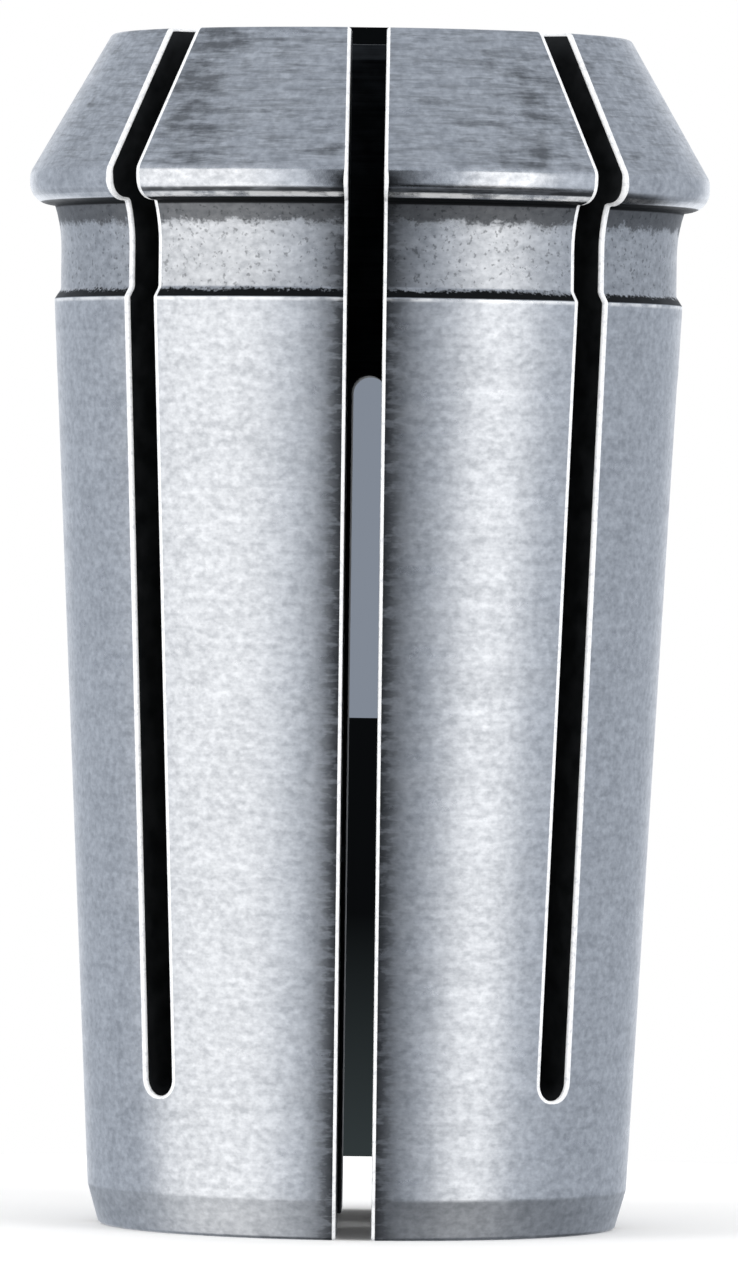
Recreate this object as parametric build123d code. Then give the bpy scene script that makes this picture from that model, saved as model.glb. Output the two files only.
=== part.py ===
from build123d import *
import math
import os

# Spring collet for a milling chuck, one solid of hardened and ground steel.
# The axis is +Z, the rear face stands on Z = 0 and the nose points up.
# Angles around the axis count from the front, -Y, towards +X.

# Clamping taper, millimetres. It loses 1 mm of diameter on every 10 mm of length.
TAPER_LARGE_DIAMETER = 32.3
TAPER_LENGTH = 45.4
TAPER_RATIO = 10.0

# Rear end
REAR_CHAMFER_LENGTH = 2.05
REAR_CHAMFER_DEPTH = 0.58

# Extraction groove, measured from the large end of the taper
GROOVE_WIDTH = 4.85
GROOVE_DEPTH = 0.32
GROOVE_LIP_HEIGHT = 0.5
GROOVE_FLARE = 0.37
GROOVE_FLARE_HEIGHT = 2.3

# Collar and nose cone
COLLAR_STEP = 1.35
COLLAR_EDGE_ROUND = 1.1
COLLAR_LAND = 1.6
NOSE_CONE_LENGTH = 7.2
NOSE_CONE_HALF_ANGLE = 30.0

# Bore, set by the wall that it leaves at the large end of the taper
LARGE_END_WALL = 8.15
BORE_DIAMETER = TAPER_LARGE_DIAMETER - 2 * LARGE_END_WALL
BORE_MOUTH_CHAMFER = 0.8
RELIEF_LENGTH = 18.4
RELIEF_DEPTH = 0.5
RELIEF_RAMP_HALF_ANGLE = 30.0
RELIEF_REAR_CHAMFER = 0.6

# Slots, and what each kind leaves uncut at its closed end
SLOT_PAIRS = 4
SLOT_WIDTH = 1.8
NOSE_SLOT_BRIDGE = 7.0
REAR_SLOT_BRIDGE = 17.3

# Stoned edge break along the slots and around the nose face
EDGE_BREAK = 0.15

# How far a cutter runs past the body
OVERSHOOT = 2.0

# Levels and radii that follow
TAPER_LOW = REAR_CHAMFER_LENGTH
TAPER_HIGH = TAPER_LOW + TAPER_LENGTH
COLLAR_LOW = TAPER_HIGH + GROOVE_WIDTH
COLLAR_HIGH = COLLAR_LOW + COLLAR_LAND
NOSE_TOP = COLLAR_HIGH + NOSE_CONE_LENGTH
TAPER_LARGE_RADIUS = TAPER_LARGE_DIAMETER / 2
TAPER_SMALL_RADIUS = TAPER_LARGE_RADIUS - TAPER_LENGTH / TAPER_RATIO / 2
REAR_RADIUS = TAPER_SMALL_RADIUS - REAR_CHAMFER_DEPTH
GROOVE_RADIUS = TAPER_LARGE_RADIUS - GROOVE_DEPTH
COLLAR_RADIUS = TAPER_LARGE_RADIUS + COLLAR_STEP
NOSE_RADIUS = COLLAR_RADIUS - NOSE_CONE_LENGTH * math.tan(math.radians(NOSE_CONE_HALF_ANGLE))
BORE_RADIUS = BORE_DIAMETER / 2
RELIEF_RADIUS = BORE_RADIUS + RELIEF_DEPTH
SLOT_PITCH = 180 / SLOT_PAIRS


def blank_section():
    """Half section of the turned blank, X as radius and Y as level."""
    flare_low = (GROOVE_RADIUS, COLLAR_LOW - GROOVE_FLARE_HEIGHT)
    flare_high = (GROOVE_RADIUS + GROOVE_FLARE, COLLAR_LOW)
    collar_edge = (COLLAR_RADIUS, COLLAR_LOW)
    with BuildSketch() as section:
        with BuildLine():
            Polyline(
                (0, 0),
                (REAR_RADIUS, 0),
                (TAPER_SMALL_RADIUS, TAPER_LOW),
                (TAPER_LARGE_RADIUS, TAPER_HIGH),
                (GROOVE_RADIUS, TAPER_HIGH + GROOVE_LIP_HEIGHT),
                flare_low,
            )
            TangentArc(flare_low, flare_high, tangent=(0, 1))
            Polyline(
                flare_high,
                collar_edge,
                (COLLAR_RADIUS, COLLAR_HIGH),
                (NOSE_RADIUS, NOSE_TOP),
                (0, NOSE_TOP),
                (0, 0),
            )
        make_face()
        corner = section.vertices().sort_by_distance((*collar_edge, 0))[0]
        fillet(corner, radius=COLLAR_EDGE_ROUND)
    return section.sketch


def bore_section():
    """Half section of the bore: clamping land from the nose, relief from the rear."""
    land_low = RELIEF_LENGTH + RELIEF_DEPTH / math.tan(math.radians(RELIEF_RAMP_HALF_ANGLE))
    with BuildSketch() as section:
        with BuildLine():
            Polyline(
                (0, -OVERSHOOT),
                (RELIEF_RADIUS + RELIEF_REAR_CHAMFER + OVERSHOOT, -OVERSHOOT),
                (RELIEF_RADIUS, RELIEF_REAR_CHAMFER),
                (RELIEF_RADIUS, RELIEF_LENGTH),
                (BORE_RADIUS, land_low),
                (BORE_RADIUS, NOSE_TOP - BORE_MOUTH_CHAMFER),
                (BORE_RADIUS + BORE_MOUTH_CHAMFER + OVERSHOOT, NOSE_TOP + OVERSHOOT),
                (0, NOSE_TOP + OVERSHOOT),
                (0, -OVERSHOOT),
            )
        make_face()
    return section.sketch


def turned_body():
    """The blank with its bore, before any slot."""
    upright = Rot(90, 0, 0)
    blank = revolve(upright * blank_section(), axis=Axis.Z)
    return blank - revolve(upright * bore_section(), axis=Axis.Z)


def slot_cutter(angle, low, high):
    """A round-ended slot through one wall, from the axis outwards, between two levels."""
    turn = math.radians(angle)
    outward = (math.sin(turn), -math.cos(turn), 0)
    wall = Plane(origin=(0, 0, (low + high) / 2), x_dir=(0, 0, 1), z_dir=outward)
    return extrude(wall * SlotOverall(high - low, SLOT_WIDTH), amount=COLLAR_RADIUS + OVERSHOOT)


def slot_cutters():
    """Slots from the rear and from the nose in turn. The front one is cut right through."""
    below = -OVERSHOOT - SLOT_WIDTH
    above = NOSE_TOP + OVERSHOOT + SLOT_WIDTH
    cutters = [slot_cutter(0, below, above)]
    for step in range(1, 2 * SLOT_PAIRS):
        if step % 2:
            cutters.append(slot_cutter(step * SLOT_PITCH, NOSE_SLOT_BRIDGE, above))
        else:
            cutters.append(slot_cutter(step * SLOT_PITCH, below, NOSE_TOP - REAR_SLOT_BRIDGE))
    return cutters


def outer_edges(body):
    """The sharp edges that the edge break takes: along the slots and around the nose face."""
    bore_reach = RELIEF_RADIUS + max(RELIEF_REAR_CHAMFER, BORE_MOUTH_CHAMFER)
    outside = (bore_reach + min(NOSE_RADIUS, REAR_RADIUS)) / 2
    chosen = []
    for edge in body.edges():
        middle = edge.position_at(0.5)
        if math.hypot(middle.X, middle.Y) < outside:
            continue
        level = abs(edge.position_at(0).Z - middle.Z) < EDGE_BREAK / 10
        nose_rim = edge.geom_type == GeomType.CIRCLE and abs(middle.Z - NOSE_TOP) < EDGE_BREAK / 10
        if nose_rim or not level:
            chosen.append(edge)
    return chosen


def collet_body():
    """The whole collet: turned, bored, slotted from both ends and stoned along its edges."""
    body = turned_body()
    for cutter in slot_cutters():
        body -= cutter
    return chamfer(outer_edges(body), length=EDGE_BREAK)


os.makedirs("parts", exist_ok=True)
export_step(collet_body(), "parts/collet_body.step")
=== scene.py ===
import math
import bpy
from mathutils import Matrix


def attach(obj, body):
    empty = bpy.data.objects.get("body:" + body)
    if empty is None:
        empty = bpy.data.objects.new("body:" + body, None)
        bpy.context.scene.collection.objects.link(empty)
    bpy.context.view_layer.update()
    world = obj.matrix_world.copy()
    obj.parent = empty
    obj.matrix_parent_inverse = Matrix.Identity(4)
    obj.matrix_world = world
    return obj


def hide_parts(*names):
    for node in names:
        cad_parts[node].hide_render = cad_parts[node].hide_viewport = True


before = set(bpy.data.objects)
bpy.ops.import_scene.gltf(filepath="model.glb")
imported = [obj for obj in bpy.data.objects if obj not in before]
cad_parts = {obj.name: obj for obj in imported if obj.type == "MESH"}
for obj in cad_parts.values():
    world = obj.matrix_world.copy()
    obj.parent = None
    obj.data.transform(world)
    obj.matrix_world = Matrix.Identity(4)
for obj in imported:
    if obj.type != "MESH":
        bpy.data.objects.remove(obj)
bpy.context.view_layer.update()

from types import SimpleNamespace

import bpy
from mathutils import Matrix, Vector

MM = 0.001

# Profile of the collet in millimetres, as in the CAD model
REAR_RADIUS = 13.3
TAPER_LOW = 2.05
TAPER_SMALL_RADIUS = 13.88
TAPER_HIGH = 47.45
TAPER_LARGE_RADIUS = 16.15
GROOVE_LOW = 47.95
GROOVE_RADIUS = 15.83
FLARE_LOW = 50.0
FLARE = 0.37
COLLAR_LOW = 52.3
COLLAR_RADIUS = 17.485
COLLAR_HIGH = 53.9
NOSE_RADIUS = 13.343
NOSE_TOP = 61.1
RELIEF_RADIUS = 8.5
RELIEF_CHAMFER = 0.6
RELIEF_HIGH = 18.4
BORE_RADIUS = 8.0
BORE_LOW = 19.266
BORE_CHAMFER = 0.8

# Rounds of its corners, from the rear to the nose, outside and then in the bore
REAR_ROUND = 0.25
CHAMFER_ROUND = 1.2
LIP_ROUND = 0.25
GROOVE_ROUND = 0.3
ROOF_ROUND = 0.12
COLLAR_LOW_ROUND = 1.1
COLLAR_HIGH_ROUND = 0.9
NOSE_ROUND = 0.3
MOUTH_ROUND = 0.14
CHAMFER_END_ROUND = 0.15
RELIEF_ROUND = 0.1
BORE_LOW_ROUND = 0.14

# Slots: half width, where each kind's round end stops, and the kinds in turn from the front
SLOT_HALF = 0.9
NOSE_SLOT_LOW = 7.0
REAR_SLOT_HIGH = 43.8
NOSE_SLOT_CENTRE = NOSE_SLOT_LOW + SLOT_HALF
REAR_SLOT_CENTRE = REAR_SLOT_HIGH - SLOT_HALF
SLOT_KINDS = ["full", "nose", "rear", "nose", "rear", "nose", "rear", "nose"]
SLOTS = len(SLOT_KINDS)
PITCH = 2 * math.pi / SLOTS

# Edge rounds along the slots: outside, in the bore, and how much wider they get at the collar
EDGE = 0.15
BORE_EDGE = 0.1
COLLAR_EDGE = 0.05
COLLAR_EDGE_LEVEL = 53.25
COLLAR_EDGE_REACH = 0.55

# How far the stone also touched the skin, which is painted pale there as a highlight, beside the
# open slit and beside the others
SLIT_BAND = 0.03
SLOT_BAND = 0.14

# Steps of the mesh: around a petal, through a wall, over an edge, on a round end, up the flare
COLUMNS = 16
WALL_STEPS = 4
EDGE_STEPS = 3
ARC_STEPS = 9
FLARE_STEPS = 5
# The widest gap between two rows, and how near a round end or a face no bore row is added
ROW_GAP = 1.4
ARC_MARGIN = 0.1
FACE_MARGIN = 0.4
# Levels on the bore that answer to the level underside of the collar
LIFT_LOW = COLLAR_LOW + 0.3
LIFT_HIGH = COLLAR_HIGH - 0.5

# Order of the materials on the mesh
# The stoned edges and the skin beside them carry a painted highlight
SKIN, STONED_HIGHLIGHT, WALL, BORE = range(4)

# Colours of the steel
GRAIN_DARK = (0.44, 0.455, 0.48, 1)
GRAIN_PALE = (0.71, 0.725, 0.75, 1)
SPECK_DARK = (0.12, 0.125, 0.13, 1)
TURNED_DARK = (0.16, 0.165, 0.17, 1)
STAIN_DARK = (0.10, 0.105, 0.11, 1)
# Painted dark reflection beside the open slit
SLIT_REFLECTION_DARK = (0.05, 0.053, 0.056, 1)
# Dark line in the groove's corner, with painted shade under its roof and a painted dark reflection
# on the collar
CORNER_AND_SHADE_DARK = (0.02, 0.021, 0.022, 1)
# Painted highlights at the taper's large end and the collar's lower edge
HIGHLIGHT_PALE = (0.92, 0.925, 0.93, 1)
# Stoned edges, pale partly as a painted highlight
STONED_HIGHLIGHT_GREY = (0.7, 0.71, 0.73, 1)
STONED_HIGHLIGHT_PALE = (0.94, 0.945, 0.95, 1)
# Painted shade: near black for the slot walls and the bore
INNER_SHADE_DARK = (0.008, 0.009, 0.010, 1)
INNER_SHADE_PALE = (0.022, 0.024, 0.026, 1)

# Camera, fitted to the photo: angles in degrees, places in metres, lens in millimetres
CAMERA_AZIMUTH = 0.65
CAMERA_DISTANCE = 0.6
CAMERA_LEVEL = 0.037
CAMERA_AIM = 0.03011
CAMERA_ROLL = 0.75
CAMERA_LENS = 327.86
CAMERA_SHIFT = 0.00385

# Studio, in metres. Of its pieces only the floor catches light and shadow.
RING_POINTS = 96
FLOOR_RADIUS = 0.063
FLOOR_COLOUR = (0.97, 0.97, 0.97)
COOL = (0.88, 0.95, 1.06)

# The light tent, seen only in reflections
TENT_RADIUS = 1.0
TENT_TOP = 0.4
TENT_FOOT = -0.96
TENT_STRENGTH = 2.0
ROOF_STRENGTH = 0.6
# The brightness of its wall by azimuth from the camera, in degrees
TENT_LIGHT = [
    (-180, 1.1), (-165, 1.0), (-150, 0.64), (-98, 0.64), (-88, 1.3), (-78, 1.45), (-42, 1.47),
    (-31, 1.12), (-22, 0.93), (-16, 0.42), (-9, 0.08), (7, 0.05), (14, 0.22), (22, 0.55),
    (30, 0.85), (37, 1.25), (44, 1.68), (56, 1.68), (62, 1.15), (68, 0.85), (80, 0.78),
    (96, 0.6), (150, 0.6), (165, 1.0), (180, 1.1),
]
# From this brightness on its cool tint fades, and at twice it the light is neutral
TINT_FADE = 0.7

# Cards far behind the collet that show through its open slit: distance, half widths, colours
CARD_DISTANCE = 2.0
NARROW_CARD = 0.008
WIDE_CARD = 0.026
CARD_GREY = (0.22, 0.25, 0.30)
CARD_BLACK = (0.003, 0.0035, 0.004)
CARD_DIM = (0.03, 0.038, 0.04)
# Levels of the collet, in millimetres, behind which the upper edges of two cards show
TABLE_EDGE = 26.1
BACKDROP_EDGE = 48.5

# Soft boxes: azimuths in degrees, then metres and watts
SOFT_BOXES = (("soft_box_left", -60), ("soft_box_right", 50))
BOX_DISTANCE = 0.9
BOX_LEVEL = 0.5
BOX_WIDTH = 0.4
BOX_HEIGHT = 0.8
BOX_POWER = 3.0
BOX_AIM = 0.03


def rounded(corners):
    """Points and normals along a polyline. Each corner is (radius, level, round, steps).

    The solid lies to the left of the line when it is followed with the level growing
    on the outside, so the outward normal is the line's direction turned to the right.
    """
    points = []
    last = len(corners) - 1
    for k, (x, y, size, steps) in enumerate(corners):
        if k in (0, last):
            a, b = (corners[0], corners[1]) if k == 0 else (corners[last - 1], corners[last])
            length = math.hypot(b[0] - a[0], b[1] - a[1])
            points.append((x, y, (b[1] - a[1]) / length, -(b[0] - a[0]) / length))
            continue
        before = Vector((x - corners[k - 1][0], y - corners[k - 1][1])).normalized()
        after = Vector((corners[k + 1][0] - x, corners[k + 1][1] - y)).normalized()
        turn = math.atan2(before.x * after.y - before.y * after.x, before.dot(after))
        if size == 0:
            mean = (before + after).normalized()
            points.append((x, y, mean.y, -mean.x))
            continue
        reach = size * math.tan(abs(turn) / 2)
        start = Vector((x, y)) - before * reach
        side = 1 if turn > 0 else -1
        inward = Vector((-before.y, before.x)) * side
        centre = start + inward * size
        for step in range(steps + 1):
            angle = turn * step / steps
            spoke = Matrix.Rotation(angle, 2) @ (-inward)
            place = centre + spoke * size
            normal = spoke * side
            points.append((place.x, place.y, normal.x, normal.y))
    return points


def flare_points():
    """The hollow curve of the groove up to the corner under the collar."""
    height = COLLAR_LOW - FLARE_LOW
    radius = (FLARE**2 + height**2) / (2 * FLARE)
    points = []
    for step in range(1, FLARE_STEPS):
        rise = height * step / FLARE_STEPS
        x = GROOVE_RADIUS + radius - math.sqrt(radius**2 - rise**2)
        points.append((x, FLARE_LOW + rise, 0, 0))
    return points


def outer_points():
    """The outside from the rear to the nose. The two end points only give a direction."""
    return rounded(
        [
            (REAR_RADIUS - 0.2, 0, 0, 0),
            (REAR_RADIUS, 0, REAR_ROUND, 4),
            (TAPER_SMALL_RADIUS, TAPER_LOW, CHAMFER_ROUND, 4),
            (TAPER_LARGE_RADIUS, TAPER_HIGH, LIP_ROUND, 3),
            (GROOVE_RADIUS, GROOVE_LOW, GROOVE_ROUND, 4),
            (GROOVE_RADIUS, FLARE_LOW, 0, 0),
            *flare_points(),
            (GROOVE_RADIUS + FLARE, COLLAR_LOW, ROOF_ROUND, 4),
            (COLLAR_RADIUS, COLLAR_LOW, COLLAR_LOW_ROUND, 12),
            (COLLAR_RADIUS, COLLAR_HIGH, COLLAR_HIGH_ROUND, 6),
            (NOSE_RADIUS, NOSE_TOP, NOSE_ROUND, 6),
            (NOSE_RADIUS - 0.4, NOSE_TOP, 0, 0),
        ]
    )[1:-1]


def bore_points():
    """The bore from the rear to the nose. Its normals point to the axis."""
    line = rounded(
        [
            (RELIEF_RADIUS + RELIEF_CHAMFER + 0.3, 0, 0, 0),
            (RELIEF_RADIUS + RELIEF_CHAMFER, 0, MOUTH_ROUND, 2),
            (RELIEF_RADIUS, RELIEF_CHAMFER, CHAMFER_END_ROUND, 2),
            (RELIEF_RADIUS, RELIEF_HIGH, RELIEF_ROUND, 2),
            (BORE_RADIUS, BORE_LOW, BORE_LOW_ROUND, 2),
            (BORE_RADIUS, NOSE_TOP - BORE_CHAMFER, CHAMFER_END_ROUND, 2),
            (BORE_RADIUS + BORE_CHAMFER, NOSE_TOP, MOUTH_ROUND, 2),
            (BORE_RADIUS + BORE_CHAMFER + 0.4, NOSE_TOP, 0, 0),
        ]
    )[1:-1]
    return [(x, y, -nx, -ny) for x, y, nx, ny in line]


def along(points, level):
    """The point of an open profile at a level, with its normal."""
    for a, b in zip(points, points[1:]):
        if a[1] - 1e-9 <= level <= b[1] + 1e-9 and b[1] - a[1] > 1e-9:
            share = min(max((level - a[1]) / (b[1] - a[1]), 0), 1)
            x, _, nx, ny = (p + (q - p) * share for p, q in zip(a, b))
            length = math.hypot(nx, ny)
            return (x, level, nx / length, ny / length)
    return points[0] if level < points[1][1] else points[-1]


def arc_rows(outer, inner):
    """Rows that follow the round ends of the slots."""
    found = []
    for step in range(ARC_STEPS + 1):
        angle = math.pi / 2 * step / ARC_STEPS
        for kind, centre, side in (("nose", NOSE_SLOT_CENTRE, -1), ("rear", REAR_SLOT_CENTRE, 1)):
            swing = side * math.cos(angle)
            out = along(outer, centre + (SLOT_HALF + EDGE) * swing)
            bore = along(inner, centre + (SLOT_HALF + BORE_EDGE) * swing)
            found.append((out[1], out, bore, (kind, angle)))
    return found


def bore_rows(outer, inner):
    """Rows at the corners of the bore, clear of the round ends, the faces and other rows."""
    reach = SLOT_HALF + EDGE + ARC_MARGIN
    spans = [
        (NOSE_SLOT_CENTRE - reach, NOSE_SLOT_CENTRE + ARC_MARGIN),
        (REAR_SLOT_CENTRE - ARC_MARGIN, REAR_SLOT_CENTRE + reach),
    ]
    levels = {round(p[1], 6) for p in outer}
    found = []
    for point in inner[1:-1]:
        level = point[1]
        clear = FACE_MARGIN < level < NOSE_TOP - FACE_MARGIN
        clear = clear and all(not low < level < high for low, high in spans)
        if clear and round(level, 6) not in levels:
            found.append((level, along(outer, level), point, None))
    return found


def rows():
    """Matching rows of the outside and the bore: (outer, inner, arc), from rear to nose.

    arc is None, or (kind, angle) on the rows that follow the round end of a slot.
    """
    outer = outer_points()
    inner = bore_points()
    taken = arc_rows(outer, inner)
    taken += [(point[1], point, None, None) for point in outer]
    taken += bore_rows(outer, inner)
    taken.sort(key=lambda row: row[0])
    filled = []
    for a, b in zip(taken, taken[1:]):
        filled.append(a)
        count = int((b[0] - a[0]) / ROW_GAP)
        for step in range(1, count + 1):
            level = a[0] + (b[0] - a[0]) * step / (count + 1)
            filled.append((level, along(outer, level), None, None))
    filled.append(taken[-1])
    under = [i for i, row in enumerate(filled) if COLLAR_LOW - 1e-6 <= row[0] <= LIFT_HIGH]
    run = [0.0]
    for i in under[1:]:
        a, b = filled[i - 1][1], filled[i][1]
        run.append(run[-1] + math.hypot(b[0] - a[0], b[1] - a[1]))
    result = []
    for i, (level, out, bore, arc) in enumerate(filled):
        if i in under:
            share = run[i - under[0]] / run[-1]
            bore = along(inner, LIFT_LOW + (LIFT_HIGH - LIFT_LOW) * share)
        elif bore is None:
            bore = along(inner, min(max(level, inner[0][1]), inner[-1][1]))
        if i == 0:
            bore = inner[0]
        if i == len(filled) - 1:
            bore = inner[-1]
        result.append((out, bore, arc))
    return result


def profile_loop():
    """The closed profile: outside, nose face, bore and rear face. Each entry is
    (x, y, nx, ny, edge, row, depth), where row and depth name its place on a slot wall."""
    table = rows()
    n = len(table) - 1
    loop = []
    for i, (out, _, _) in enumerate(table):
        away = (out[1] - COLLAR_EDGE_LEVEL) / COLLAR_EDGE_REACH
        loop.append((*out, EDGE + COLLAR_EDGE * math.exp(-(away**2)), i, 0))
    for m in range(1, WALL_STEPS):
        share = m / WALL_STEPS
        x = table[n][0][0] + (table[n][1][0] - table[n][0][0]) * share
        loop.append((x, NOSE_TOP, 0, 1, EDGE + (BORE_EDGE - EDGE) * share, n, m))
    for i in range(n, -1, -1):
        loop.append((*table[i][1], BORE_EDGE, i, WALL_STEPS))
    for m in range(WALL_STEPS - 1, 0, -1):
        share = m / WALL_STEPS
        x = table[0][0][0] + (table[0][1][0] - table[0][0][0]) * share
        loop.append((x, 0, 0, -1, EDGE + (BORE_EDGE - EDGE) * share, 0, m))
    return table, loop


def band(slot):
    """Width of the stoned skin beside a slot, painted pale as a highlight."""
    return SLIT_BAND if slot % SLOTS == 0 else SLOT_BAND


class Petals:
    """The mesh of the slotted body: one closed skin, slot walls and rounded slot edges."""

    def __init__(self):
        self.table, self.loop = profile_loop()
        self.where = {(entry[5], entry[6]): c for c, entry in enumerate(self.loop)}
        self.arc_rows = {}
        for i, (_, _, arc) in enumerate(self.table):
            if arc:
                self.arc_rows.setdefault(arc[0], {})[i] = arc[1]
        self.places = []
        self.normals = []
        self.index = {}
        self.faces = []
        self.finish = []
        self.build()

    def angle(self, slot, row):
        """None where the slot is closed at a row, else the angle along its round end."""
        kind = SLOT_KINDS[slot % SLOTS]
        if kind == "full":
            return math.pi / 2
        known = self.arc_rows[kind]
        if row in known:
            return known[row]
        if kind == "nose":
            return math.pi / 2 if row > max(known) else None
        return math.pi / 2 if row < min(known) else None

    def vertex(self, key, place, normal):
        """Number of the vertex with this key, made at its first use."""
        if key not in self.index:
            self.index[key] = len(self.places)
            self.places.append(place)
            self.normals.append(normal)
        return self.index[key]

    def at(self, slot, entry, side, bevel):
        """A point by a slot: bevel 0 on the skin, 1 on the wall, with its normal."""
        x, y, nx, ny, edge, row, _ = entry
        bend = self.angle(slot, row)
        turn = slot * PITCH
        out = Vector((math.sin(turn), -math.cos(turn), 0))
        across = Vector((math.cos(turn), math.sin(turn), 0))
        up = Vector((0, 0, 1))
        if bend is None:
            return out * x + up * y, out * nx + up * ny
        kind = SLOT_KINDS[slot % SLOTS]
        swing = {"full": 0, "nose": -1, "rear": 1}[kind]
        sweep = bevel * math.pi / 2
        reach = SLOT_HALF + edge * (1 - math.sin(sweep))
        sink = edge * (1 - math.cos(sweep))
        t = reach * math.sin(bend)
        level = y - sink * ny
        if kind != "full" and row in self.arc_rows[kind]:
            centre = NOSE_SLOT_CENTRE if kind == "nose" else REAR_SLOT_CENTRE
            level = centre + swing * reach * math.cos(bend)
        radius = x - sink * nx
        place = out * math.sqrt(max(radius**2 - t**2, 0)) + across * (t * side) + up * level
        flat = Vector((place.x, place.y, 0)).normalized()
        skin = flat * nx + up * ny
        wall = across * (-side * math.sin(bend)) - up * (swing * math.cos(bend))
        return place, (skin * math.cos(sweep) + wall * math.sin(sweep)).normalized()

    def rim(self, slot, c, side, k):
        """Vertex number on the rounded edge of a slot: k from 0, skin, to EDGE_STEPS, wall."""
        slot %= SLOTS
        entry = self.loop[c]
        bend = self.angle(slot, entry[5])
        if bend is None:
            side, k = 0, 0
        elif bend < 1e-9:
            side = 0
        if k == EDGE_STEPS:
            return self.wall(slot, entry[5], entry[6], side)
        place, normal = self.at(slot, entry, side, k / EDGE_STEPS)
        return self.vertex(("rim", slot, c, side, k), place, normal)

    def wall(self, slot, row, depth, side):
        """Vertex number on a slot wall, at a row and a step from outside to bore."""
        slot %= SLOTS
        bend = self.angle(slot, row)
        if bend is not None and bend < 1e-9:
            side = 0
        key = ("wall", slot, row, depth, side)
        if key in self.index:
            return self.index[key]
        n = len(self.table) - 1
        if row in (0, n) or depth in (0, WALL_STEPS):
            c = self.where[(row, depth)]
            place, normal = self.at(slot, self.loop[c], side, 1)
            return self.vertex(key, place, normal)
        a, normal = self.at(slot, self.loop[self.where[(row, 0)]], side, 1)
        b, _ = self.at(slot, self.loop[self.where[(row, WALL_STEPS)]], side, 1)
        return self.vertex(key, a.lerp(b, depth / WALL_STEPS), normal)

    def skin(self, petal, c, j):
        """Vertex number on the skin between two slots."""
        if j == 0:
            return self.rim(petal, c, 1, 0)
        if j == COLUMNS:
            return self.rim(petal + 1, c, -1, 0)
        key = ("skin", petal, c, j)
        if key in self.index:
            return self.index[key]
        x, y, nx, ny = self.loop[c][:4]
        ends = []
        for slot, side in ((petal, 1), (petal + 1, -1)):
            place, _ = self.at(slot, self.loop[c], side, 0)
            turn = slot * PITCH
            across = place.x * math.cos(turn) + place.y * math.sin(turn)
            ends.append(turn + math.asin(across / x))
        low = ends[0] + band(petal) / x
        high = ends[1] - band(petal + 1) / x
        turn = low + (high - low) * (j - 1) / (COLUMNS - 2)
        flat = Vector((math.sin(turn), -math.cos(turn), 0))
        up = Vector((0, 0, 1))
        return self.vertex(key, flat * x + up * y, flat * nx + up * ny)

    def face(self, corners, finish):
        """A face without its repeated corners, left out where fewer than three remain."""
        kept = [v for k, v in enumerate(corners) if v != corners[k - 1]]
        if len(set(kept)) > 2:
            self.faces.append(kept)
            self.finish.append(finish)

    def stoned(self, slot, c, d):
        """Whether the skin beside a slot is stoned, and painted pale as a highlight, between two
        entries of the loop.
        """
        outside = self.loop[c][6] == 0 and self.loop[d][6] == 0
        open_here = all(self.angle(slot, self.loop[k][5]) is not None for k in (c, d))
        return outside and open_here

    def skin_faces(self, c, d, inside):
        """The skin of every petal between two entries of the loop."""
        for petal in range(SLOTS):
            for j in range(COLUMNS):
                beside = {0: petal, COLUMNS - 1: petal + 1}.get(j)
                finish = BORE if inside else SKIN
                if beside is not None and self.stoned(beside, c, d):
                    finish = STONED_HIGHLIGHT
                corners = ((c, j), (c, j + 1), (d, j + 1), (d, j))
                self.face([self.skin(petal, *corner) for corner in corners], finish)

    def rim_faces(self, c, d, inside):
        """The rounded edges of every slot that is open between two entries of the loop."""
        for slot in range(SLOTS):
            if any(self.angle(slot, self.loop[k][5]) is None for k in (c, d)):
                continue
            for side in (1, -1):
                for k in range(EDGE_STEPS):
                    corners = ((c, side, k), (d, side, k), (d, side, k + 1), (c, side, k + 1))
                    numbers = [self.rim(slot, *corner) for corner in corners]
                    self.face(numbers[::side], WALL if inside else STONED_HIGHLIGHT)

    def wall_faces(self, slot):
        """The two walls of a slot, with its round end."""
        for i in range(len(self.table) - 1):
            if self.angle(slot, i) is None or self.angle(slot, i + 1) is None:
                continue
            for side in (1, -1):
                for m in range(WALL_STEPS):
                    corners = ((i, m), (i + 1, m), (i + 1, m + 1), (i, m + 1))
                    numbers = [self.wall(slot, *corner, side) for corner in corners]
                    self.face(numbers[::side], WALL)

    def build(self):
        count = len(self.loop)
        for c in range(count):
            d = (c + 1) % count
            inside = min(self.loop[c][6], self.loop[d][6]) == WALL_STEPS
            self.skin_faces(c, d, inside)
            self.rim_faces(c, d, inside)
        for slot in range(SLOTS):
            self.wall_faces(slot)


def collet_mesh():
    petals = Petals()
    mesh = bpy.data.meshes.new("collet_steel")
    mesh.from_pydata([p * MM for p in petals.places], [], petals.faces)
    mesh.validate()
    mesh.polygons.foreach_set("material_index", petals.finish)
    mesh.polygons.foreach_set("use_smooth", [True] * len(mesh.polygons))
    mesh.update()
    mesh.normals_split_custom_set_from_vertices([tuple(n) for n in petals.normals])
    return mesh


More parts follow.
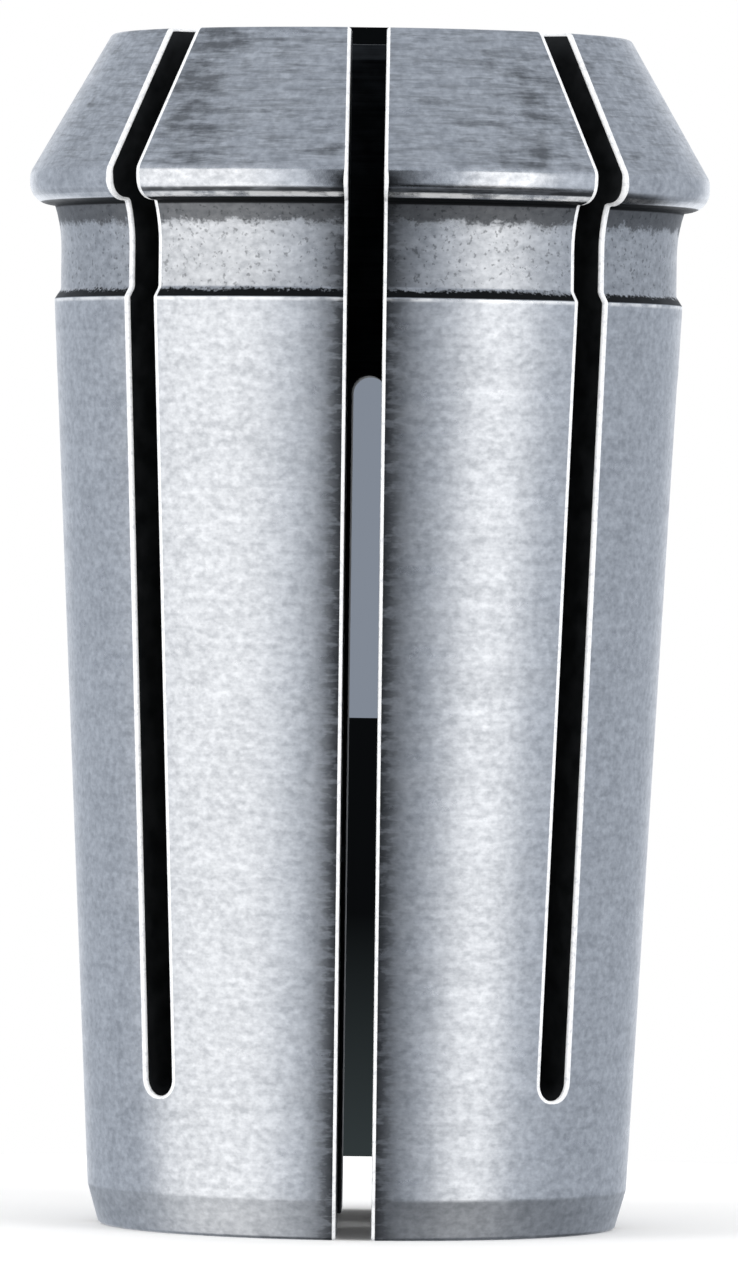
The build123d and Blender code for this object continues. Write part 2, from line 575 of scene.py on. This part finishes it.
class Nodes:
    """A short way to write the node tree of a material."""

    def __init__(self, name):
        self.material = bpy.data.materials.new(name)
        self.material.use_nodes = True
        self.tree = self.material.node_tree
        self.tree.nodes.clear()

    def add(self, kind, inputs=None, **settings):
        node = self.tree.nodes.new(kind)
        for key, value in settings.items():
            setattr(node, key, value)
        for key, value in (inputs or {}).items():
            socket = node.inputs[key]
            if isinstance(value, bpy.types.NodeSocket):
                self.tree.links.new(value, socket)
            else:
                socket.default_value = value
        return node

    def place(self):
        """The object's own coordinates, in metres."""
        return self.add("ShaderNodeTexCoord").outputs["Object"]

    def split(self, place):
        """The X, Y and Z of a place."""
        outputs = self.add("ShaderNodeSeparateXYZ", {0: place}).outputs
        return outputs["X"], outputs["Y"], outputs["Z"]

    def math(self, operation, *values, clamp=False):
        inputs = dict(enumerate(values))
        return self.add("ShaderNodeMath", inputs, operation=operation, use_clamp=clamp).outputs[0]

    def times(self, value, *shares):
        for share in shares:
            value = self.math("MULTIPLY", value, share)
        return value

    def swing(self, noise, share):
        """A noise taken around zero, times a share."""
        return self.times(self.math("SUBTRACT", noise, 0.5), share)

    def blend(self, *parts):
        """The sum of values, each times its share."""
        scaled = [self.times(value, share) for value, share in parts]
        total = scaled[0]
        for value in scaled[1:]:
            total = self.math("ADD", total, value)
        return total

    def span(self, value, low, high, to_low, to_high):
        inputs = {0: value, 1: low, 2: high, 3: to_low, 4: to_high}
        return self.add("ShaderNodeMapRange", inputs, clamp=True).outputs[0]

    def between(self, value, rise, fall, top=1.0):
        """A value's band: up to `top` over the rise, and down to nothing over the fall."""
        return self.times(self.span(value, *rise, 0.0, top), self.span(value, *fall, 1.0, 0.0))

    def noise(self, vector, scale, detail, roughness=0.6):
        """A noise of one scale, or of one for each axis, in waves to the metre."""
        if not isinstance(scale, (int, float)):
            inputs = {"Vector": vector, "Scale": scale}
            vector = self.add("ShaderNodeMapping", inputs).outputs["Vector"]
            scale = 1.0
        inputs = {"Vector": vector, "Scale": scale, "Detail": detail, "Roughness": roughness}
        return self.add("ShaderNodeTexNoise", inputs).outputs["Fac"]

    def mix(self, factor, a, b):
        return self.add("ShaderNodeMix", {0: factor, 6: a, 7: b}, data_type="RGBA").outputs[2]

    def bump(self, strength, height):
        inputs = {"Strength": strength, "Distance": 0.00001, "Height": height}
        return self.add("ShaderNodeBump", inputs).outputs[0]

    def metal(self, colour, roughness, bump, anisotropy, metallic=1.0):
        """A metal surface whose marks run around Z, so its gloss spreads along Z."""
        tangent = self.add("ShaderNodeTangent", direction_type="RADIAL", axis="Z").outputs[0]
        return self.principled(
            {
                "Base Color": colour,
                "Metallic": metallic,
                "Roughness": roughness,
                "Anisotropic": anisotropy,
                "Anisotropic Rotation": 0.25,
                "Tangent": tangent,
                "Normal": bump,
            }
        )

    def principled(self, inputs):
        return self.surface(self.add("ShaderNodeBsdfPrincipled", inputs))

    def emission(self, colour, strength=1.0):
        return self.surface(self.add("ShaderNodeEmission", {"Color": colour, "Strength": strength}))

    def surface(self, shader):
        out = self.add("ShaderNodeOutputMaterial")
        self.tree.links.new(shader.outputs[0], out.inputs["Surface"])
        return self.material


def steel_marks(n):
    """Where a point lies, and the noises that the ground skin shares. The distance aside
    from the middle and the level are in millimetres, and x is in metres."""
    place = n.place()
    x, y, z = n.split(place)
    return SimpleNamespace(
        place=place,
        x=x,
        aside=n.times(n.math("ABSOLUTE", x), 1 / MM),
        front=n.span(y, -0.004, -0.003, 1.0, 0.0),
        level=n.times(z, 1 / MM),
        streaks=n.noise(place, (160, 160, 6500), 2.0),
        ragged=n.noise(place, (420, 420, 2600), 3.0),
        bands=n.noise(place, (60, 60, 900), 3.0),
        mottle=n.noise(place, 700.0, 4.0),
        grain=n.noise(place, (2200, 2200, 3100), 2.0, 0.5),
        speckle=n.noise(place, (5200, 5200, 6800), 2.0),
    )


def grain_colour(n, at):
    """The grey of the ground skin, with its grain."""
    grain = n.blend((at.ragged, 0.22), (at.mottle, 0.2), (at.grain, 0.43), (at.speckle, 0.15))
    return n.mix(n.span(grain, 0.38, 0.62, 0.0, 1.0), GRAIN_DARK, GRAIN_PALE)


def add_specks(n, at, colour):
    """Small dark specks, most of them in the groove, which isn't ground and is a bit darker."""
    groove = n.between(at.level, (TAPER_HIGH, TAPER_HIGH + 0.1), (COLLAR_LOW - 0.1, COLLAR_LOW))
    speck = n.math("ADD", n.noise(at.place, 4200.0, 2.0, 0.5), n.times(groove, 0.02))
    speck = n.times(n.span(speck, 0.61, 0.71, 0.0, 0.6), n.span(groove, 0.0, 1.0, 0.1, 1.0))
    colour = n.mix(speck, colour, SPECK_DARK)
    return n.mix(n.times(groove, 0.17), colour, SPECK_DARK)


def add_cone_marks(n, at, colour):
    """Fine turned lines around the nose cone, and stains, mostly beside the slots in front."""
    cone = n.span(at.level, COLLAR_HIGH, COLLAR_HIGH + 0.25, 0.0, 1.0)
    lines = n.span(n.noise(at.place, (350, 350, 4600), 3.0, 0.7), 0.48, 0.66, 0.0, 0.42)
    colour = n.mix(n.times(lines, cone), colour, TURNED_DARK)
    off = n.math("ABSOLUTE", n.math("SUBTRACT", at.aside, 8.6))
    patch = n.times(n.span(off, 0.4, 3.0, 1.0, 0.0), n.span(at.x, -0.001, 0.001, 1.5, 1.0))
    stain = n.math("ADD", n.noise(at.place, (300, 300, 2400), 4.0, 0.7), n.swing(at.mottle, 0.7))
    stain = n.math("ADD", stain, n.times(patch, 0.17))
    stain = n.span(stain, 0.56, 0.82, 0.0, 0.75)
    return n.mix(n.times(stain, cone), colour, STAIN_DARK)


def add_slit_dark_reflection(n, at, colour):
    """A painted dark reflection beside the open slit in front, broken up ragged."""
    strip = n.times(n.span(at.aside, 1.15, 2.5, 1.0, 0.0), at.front)
    strip = n.times(strip, n.span(at.level, COLLAR_HIGH - 0.5, COLLAR_HIGH, 1.0, 0.0))
    dark_reflection = n.math("ADD", at.ragged, n.times(strip, 0.34))
    dark_reflection = n.math("ADD", dark_reflection, n.swing(at.grain, 0.7))
    dark_reflection = n.span(dark_reflection, 0.6, 0.8, 0.0, 0.8)
    return n.mix(n.times(dark_reflection, strip), colour, SLIT_REFLECTION_DARK)


def dark_corner_and_shade_mask(n, at):
    """Darker in the groove's lower corner, painted shade under its roof, and a painted dark
    reflection along the collar.
    """
    torn = n.math("ADD", n.swing(at.speckle, 0.5), n.swing(at.ragged, 0.4))
    corner = n.times(
        n.span(at.level, TAPER_HIGH - 0.01, TAPER_HIGH + 0.04, 0.0, 1.0),
        n.span(n.math("ADD", at.level, torn), TAPER_HIGH + 0.32, TAPER_HIGH + 0.44, 1.0, 0.0),
    )
    # Painted shade under the roof of the groove, ragged at its lower edge
    uneven = n.math("ADD", n.swing(at.mottle, 1.2), n.swing(at.speckle, 0.8))
    uneven = n.math("ADD", at.level, uneven)
    roof = n.span(uneven, FLARE_LOW + 1.1, FLARE_LOW + 1.4, 0.0, 0.66)
    roof = n.math("ADD", roof, n.span(at.level, COLLAR_LOW - 0.2, COLLAR_LOW - 0.12, 0.0, 0.4))
    roof = n.times(roof, n.span(at.level, COLLAR_LOW + 0.12, COLLAR_LOW + 0.16, 1.0, 0.0))
    # A painted dark reflection along the lower round of the collar
    collar_dark_reflection = n.times(
        n.between(
            at.level,
            (COLLAR_LOW + 0.38, COLLAR_LOW + 0.43),
            (COLLAR_LOW + 0.58, COLLAR_LOW + 0.68),
            0.85,
        ),
        n.span(at.ragged, 0.4, 0.5, 0.75, 1.0),
        n.span(at.aside, 11.0, 13.0, 1.0, 0.2),
    )
    return n.math("MAXIMUM", n.math("MAXIMUM", corner, roof), collar_dark_reflection)


def painted_highlight_mask(n, at):
    """Painted highlights: bright lines at the large end of the taper and on the lower edge of the
    collar.
    """
    lip = n.between(
        at.level, (TAPER_HIGH - 0.22, TAPER_HIGH - 0.1), (TAPER_HIGH - 0.03, TAPER_HIGH), 0.75
    )
    hem = n.between(
        at.level,
        (COLLAR_LOW + 0.14, COLLAR_LOW + 0.19),
        (COLLAR_LOW + 0.36, COLLAR_LOW + 0.44),
    )
    hem = n.times(hem, n.span(at.aside, 11.0, 13.0, 0.9, 0.15))
    patchy = n.span(n.math("ADD", at.mottle, n.times(at.ragged, 0.6)), 0.66, 0.86, 0.2, 1.0)
    return n.times(n.math("MAXIMUM", lip, hem), patchy)


def ground_steel():
    """Ground steel: marks around the axis, mottling, a dark line in the groove's corner, painted
    shade and dark reflections, and painted highlights.
    """
    n = Nodes("ground_steel")
    at = steel_marks(n)
    colour = add_specks(n, at, grain_colour(n, at))
    colour = add_cone_marks(n, at, colour)
    colour = add_slit_dark_reflection(n, at, colour)
    # The dark corner line, painted shade and painted dark reflection
    corner_and_shade = dark_corner_and_shade_mask(n, at)
    colour = n.mix(corner_and_shade, colour, CORNER_AND_SHADE_DARK)
    highlight = painted_highlight_mask(n, at)
    colour = n.mix(highlight, colour, HIGHLIGHT_PALE)

    # The rear chamfer is turned, not ground
    turned = n.span(at.level, TAPER_LOW - 0.1, TAPER_LOW + 0.05, 1.0, 0.0)
    colour = n.mix(n.times(turned, 0.2), colour, TURNED_DARK)

    # The collar is smoother than the rest, so it shows a crisp dark line
    collar = n.between(
        at.level, (COLLAR_LOW, COLLAR_LOW + 0.1), (COLLAR_HIGH - 0.1, COLLAR_HIGH + 0.1)
    )
    roughness = n.span(n.math("ADD", at.mottle, at.bands), 0.7, 1.3, 0.26, 0.38)
    roughness = n.math("SUBTRACT", roughness, n.times(collar, 0.17))
    roughness = n.math("ADD", roughness, n.times(turned, 0.12))
    roughness = n.math("ADD", roughness, n.times(corner_and_shade, 0.3), clamp=True)
    # Where the highlights are painted the steel is also less metallic, so they look pale from any
    # side
    metallic = n.span(highlight, 0.0, 1.0, 1.0, 0.35)
    height = n.blend((at.streaks, 0.6), (at.speckle, 0.6), (at.ragged, 0.8))
    return n.metal(colour, roughness, n.bump(0.5, height), 0.5, metallic)


def bore_steel():
    """The bore: honed where it grips, its colour near black as painted shade."""
    n = Nodes("bore_steel")
    place = n.place()
    streaks = n.noise(place, (200, 200, 5000), 2.0)
    mottle = n.noise(place, 600.0, 4.0)
    tone = n.span(n.math("ADD", streaks, mottle), 0.75, 1.25, 0.0, 1.0)
    colour = n.mix(tone, INNER_SHADE_DARK, INNER_SHADE_PALE)
    roughness = n.span(mottle, 0.3, 0.7, 0.28, 0.42)
    return n.metal(colour, roughness, n.bump(0.3, streaks), 0.3)


def stoned_highlight_edge():
    """Edges broken with a stone and finely scratched, with a painted highlight: pale and little
    metallic, so they look bright from any side.
    """
    n = Nodes("stoned_highlight_edge")
    scratch = n.noise(n.place(), 3500.0, 3.0)
    colour = n.mix(n.span(scratch, 0.3, 0.5, 0.0, 1.0), STONED_HIGHLIGHT_GREY, STONED_HIGHLIGHT_PALE)
    roughness = n.span(scratch, 0.3, 0.7, 0.4, 0.5)
    return n.principled({"Base Color": colour, "Metallic": 0.2, "Roughness": roughness})


def slot_shade():
    """Sawn slot walls, their colour near black as painted shade."""
    n = Nodes("slot_shade")
    mottle = n.noise(n.place(), 900.0, 4.0)
    colour = n.mix(n.span(mottle, 0.35, 0.65, 0.0, 1.0), INNER_SHADE_DARK, INNER_SHADE_PALE)
    roughness = n.span(mottle, 0.3, 0.7, 0.5, 0.7)
    return n.principled({"Base Color": colour, "Metallic": 0.5, "Roughness": roughness})


def build_collet():
    mesh = collet_mesh()
    piece = bpy.data.objects.new("collet_steel", mesh)
    bpy.context.scene.collection.objects.link(piece)
    # In the order of SKIN, STONED_HIGHLIGHT, WALL and BORE
    for material in (ground_steel(), stoned_highlight_edge(), slot_shade(), bore_steel()):
        mesh.materials.append(material)
    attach(piece, "root")
    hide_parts("collet_body")


def floor_material():
    n = Nodes("pale_floor")
    return n.surface(n.add("ShaderNodeBsdfDiffuse", {"Color": (*FLOOR_COLOUR, 1)}))


def tent_wall():
    """Light by azimuth, cool where it is dim, and dark low down on the right."""
    n = Nodes("tent_wall")
    x, y, z = n.split(n.place())
    turn = n.math("ARCTAN2", x, n.times(y, -1.0))
    share = n.math("ADD", n.math("DIVIDE", turn, 2 * math.pi), 0.5)
    ramp = n.add("ShaderNodeValToRGB", {0: share})
    stops = ramp.color_ramp.elements
    for k, (azimuth, light) in enumerate(TENT_LIGHT):
        position = azimuth / 360 + 0.5
        # A new ramp has two stops already
        stop = stops[k] if k < 2 else stops.new(position)
        stop.position = position
        neutral = min(max((light - TINT_FADE) / TINT_FADE, 0), 1)
        tint = [c + (1 - c) * neutral for c in COOL]
        stop.color = (*(light / TENT_STRENGTH * c for c in tint), 1)
    shade = n.times(n.span(z, -0.56, -0.32, 0.95, 0.0), n.span(x, 0.0, 0.25, 0.0, 1.0))
    return n.emission(n.mix(shade, ramp.outputs[0], (0, 0, 0, 1)), TENT_STRENGTH)


def tent_roof():
    return Nodes("tent_roof").emission((*COOL, 1), ROOF_STRENGTH)


def tent_foot():
    """Dark under the collet and paler further out, where only steep views are mirrored."""
    n = Nodes("tent_foot")
    x, y, _ = n.split(n.place())
    away = n.math("SQRT", n.math("ADD", n.times(x, x), n.times(y, y)))
    return n.emission((*COOL, 1), n.span(away, 0.36, 0.5, 0.015, 0.35))


def far_card(low_colour, high_colour, low=0.0, high=1.0):
    """A flat card whose colour changes between two levels."""
    n = Nodes("far_card")
    level = n.split(n.place())[2]
    share = n.span(level, low, high, 0.0, 1.0)
    return n.emission(n.mix(share, (*low_colour, 1), (*high_colour, 1)))


def stage_piece(name, points, faces, material, camera=False, glossy=True, shaded=False):
    """A piece of the studio. One that isn't shaded neither takes nor throws light and shadow."""
    mesh = bpy.data.meshes.new(name)
    mesh.from_pydata(points, [], faces)
    mesh.materials.append(material)
    piece = bpy.data.objects.new(name, mesh)
    bpy.context.scene.collection.objects.link(piece)
    piece.visible_camera = camera
    piece.visible_glossy = glossy
    if not shaded:
        piece.visible_diffuse = False
        piece.visible_shadow = False


def ring(radius, level):
    turns = [2 * math.pi * k / RING_POINTS for k in range(RING_POINTS)]
    return [(radius * math.cos(a), radius * math.sin(a), level) for a in turns]


def build_world():
    world = bpy.data.worlds.new("studio")
    world.use_nodes = True
    background = world.node_tree.nodes["Background"]
    background.inputs["Color"].default_value = (1, 1, 1, 1)
    background.inputs["Strength"].default_value = 1.0
    bpy.context.scene.world = world


def build_floor_and_tent():
    disc = [tuple(range(RING_POINTS))]
    floor = ring(FLOOR_RADIUS, 0)
    stage_piece("floor", floor, disc, floor_material(), camera=True, glossy=False, shaded=True)
    low, high = ring(TENT_RADIUS, TENT_FOOT), ring(TENT_RADIUS, TENT_TOP)
    sides = []
    for k in range(RING_POINTS):
        after = (k + 1) % RING_POINTS
        sides.append((k, after, after + RING_POINTS, k + RING_POINTS))
    stage_piece("tent_wall", low + high, sides, tent_wall())
    stage_piece("tent_roof", high, disc, tent_roof())
    stage_piece("tent_foot", low, disc, tent_foot())


def sight(level, depth=0.0):
    """The level on the far cards, in metres, that the camera sees behind a level of the
    collet at a depth behind its axis, both in millimetres."""
    near = CAMERA_DISTANCE + depth * MM
    far = CAMERA_DISTANCE + CARD_DISTANCE
    return CAMERA_LEVEL + (level * MM - CAMERA_LEVEL) * far / near


def build_cards():
    """What shows through the slit: dark at the top, a grey backdrop, and a dark table."""
    turn = math.radians(180 + CAMERA_AZIMUTH)
    middle = Vector((math.sin(turn), -math.cos(turn), 0)) * CARD_DISTANCE
    sideways = Vector((math.cos(turn), math.sin(turn), 0))
    table_top, backdrop_top = sight(TABLE_EDGE), sight(BACKDROP_EDGE)
    # The dark card ends behind the front of the nose face, and the table below the collet
    nose_front, below = sight(NOSE_TOP, -13.0), sight(-12.0)
    dark = far_card(CARD_BLACK, CARD_BLACK)
    grey = far_card(CARD_GREY, CARD_GREY)
    table = far_card(CARD_DIM, CARD_BLACK, sight(4.0), sight(16.0))
    for name, half, foot, top, material in (
        ("dark_top", NARROW_CARD, backdrop_top, nose_front, dark),
        ("backdrop", WIDE_CARD, table_top, backdrop_top, grey),
        ("table", WIDE_CARD, below, table_top, table),
    ):
        points = [
            middle + sideways * (half * side) + Vector((0, 0, level))
            for level, side in ((foot, -1), (foot, 1), (top, 1), (top, -1))
        ]
        stage_piece(name, points, [(0, 1, 2, 3)], material, camera=True, glossy=False)


def build_lights():
    for name, azimuth in SOFT_BOXES:
        light = bpy.data.lights.new(name, "AREA")
        light.shape = "RECTANGLE"
        light.size = BOX_WIDTH
        light.size_y = BOX_HEIGHT
        light.energy = BOX_POWER
        lamp = bpy.data.objects.new(name, light)
        bpy.context.scene.collection.objects.link(lamp)
        turn = math.radians(azimuth)
        lamp.location = (BOX_DISTANCE * math.sin(turn), -BOX_DISTANCE * math.cos(turn), BOX_LEVEL)
        aim = Vector((0, 0, BOX_AIM)) - Vector(lamp.location)
        lamp.rotation_euler = aim.to_track_quat("-Z", "Y").to_euler()
        lamp.visible_glossy = False
        lamp.visible_camera = False


def build_camera():
    data = bpy.data.cameras.new("camera")
    data.sensor_width = 36.0
    data.lens = CAMERA_LENS
    data.shift_x = CAMERA_SHIFT
    data.clip_start = 0.01
    data.clip_end = 20.0
    camera = bpy.data.objects.new("camera", data)
    bpy.context.scene.collection.objects.link(camera)
    azimuth = math.radians(CAMERA_AZIMUTH)
    outward = Vector((math.sin(azimuth), -math.cos(azimuth), 0))
    place = outward * CAMERA_DISTANCE + Vector((0, 0, CAMERA_LEVEL))
    forward = (Vector((0, 0, CAMERA_AIM)) - place).normalized()
    right = forward.cross(Vector((0, 0, 1))).normalized()
    up = right.cross(forward)
    roll = math.radians(CAMERA_ROLL)
    tilted_up = up * math.cos(roll) - right * math.sin(roll)
    tilted_right = right * math.cos(roll) + up * math.sin(roll)
    turn = Matrix((tilted_right, tilted_up, -forward)).transposed()
    camera.matrix_world = Matrix.Translation(place) @ turn.to_4x4()
    bpy.context.scene.camera = camera


build_collet()
build_world()
build_floor_and_tent()
build_cards()
build_lights()
build_camera()
bpy.context.scene.view_settings.view_transform = "Standard"
